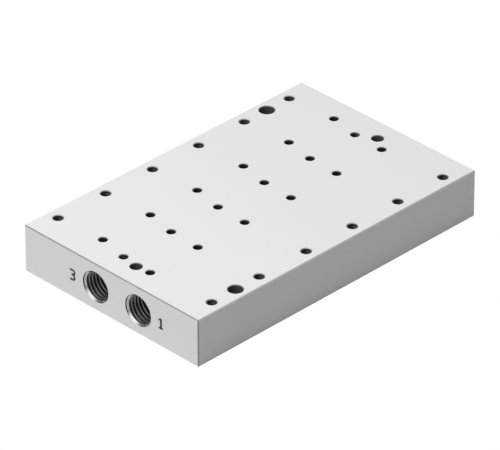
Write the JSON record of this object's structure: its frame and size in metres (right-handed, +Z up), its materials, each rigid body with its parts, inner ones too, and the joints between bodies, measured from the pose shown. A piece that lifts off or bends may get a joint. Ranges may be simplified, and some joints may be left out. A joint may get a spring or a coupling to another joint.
{
  "type": "valve manifold base",
  "caption": "Flat rectangular aluminium base for a row of small air valves: galleries tapped at both ends, valve ports and screw holes on top, outlets in one long side.",
  "frame": {"origin": "centre of the underside", "axes": "+X along the row of valves, +Y to the long side with the outlets, +Z up to the valve face"},
  "size_m": [0.108, 0.068, 0.015],
  "materials": {
    "aluminium": "fine matt, milled and anodised clear"
  },
  "bodies": {
    "root": {"manifold_base": "aluminium"}
  },
  "joints": []
}
